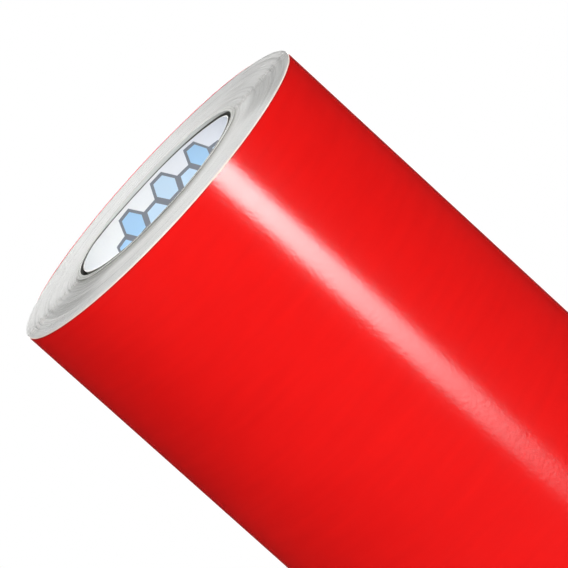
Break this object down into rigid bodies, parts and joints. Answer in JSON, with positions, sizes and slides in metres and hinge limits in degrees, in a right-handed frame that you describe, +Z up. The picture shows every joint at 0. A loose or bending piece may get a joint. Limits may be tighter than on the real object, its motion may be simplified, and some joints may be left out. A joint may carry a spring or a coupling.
{
  "type": "roll of sign vinyl",
  "caption": "Roll of glossy coloured sign vinyl on a release liner, wound film side out on an open paper core, with a loose end that lifts off the roll.",
  "frame": {"origin": "on the roll's axis, at the lower end of the core", "axes": "+Z up along the core's axis, towards the end that the picture shows; the edge of the loose end lies 100 degrees round from +X"},
  "size_m": [0.1344, 0.1349, 0.611],
  "materials": {
    "film": "gloss",
    "liner_paper": "matte",
    "web_edges": "matte",
    "core_board": "matte",
    "core_print": "satin",
    "tape": "satin"
  },
  "bodies": {
    "roll": {"core_inner_ply": "core_print", "core_ply_2": "core_board", "core_ply_3": "core_board", "core_ply_4": "core_board", "core_ply_5": "core_board", "core_outer_ply": "core_board", "starter_tape": "tape", "wound_web": "web_edges", "outer_liner": "liner_paper", "outer_film": "film"},
    "tail": {"tail_liner": "liner_paper", "tail_film": "film", "tail_tabs": "tape"}
  },
  "joints": [
    {"name": "tail_lift", "type": "hinge", "parent": "roll", "child": "tail", "pos_m": [0.02741, 0.06162, 0.3055], "axis": [0, 0, -1], "range_deg": [0, 75], "stiffness_Nm_per_rad": 0.03}
  ]
}
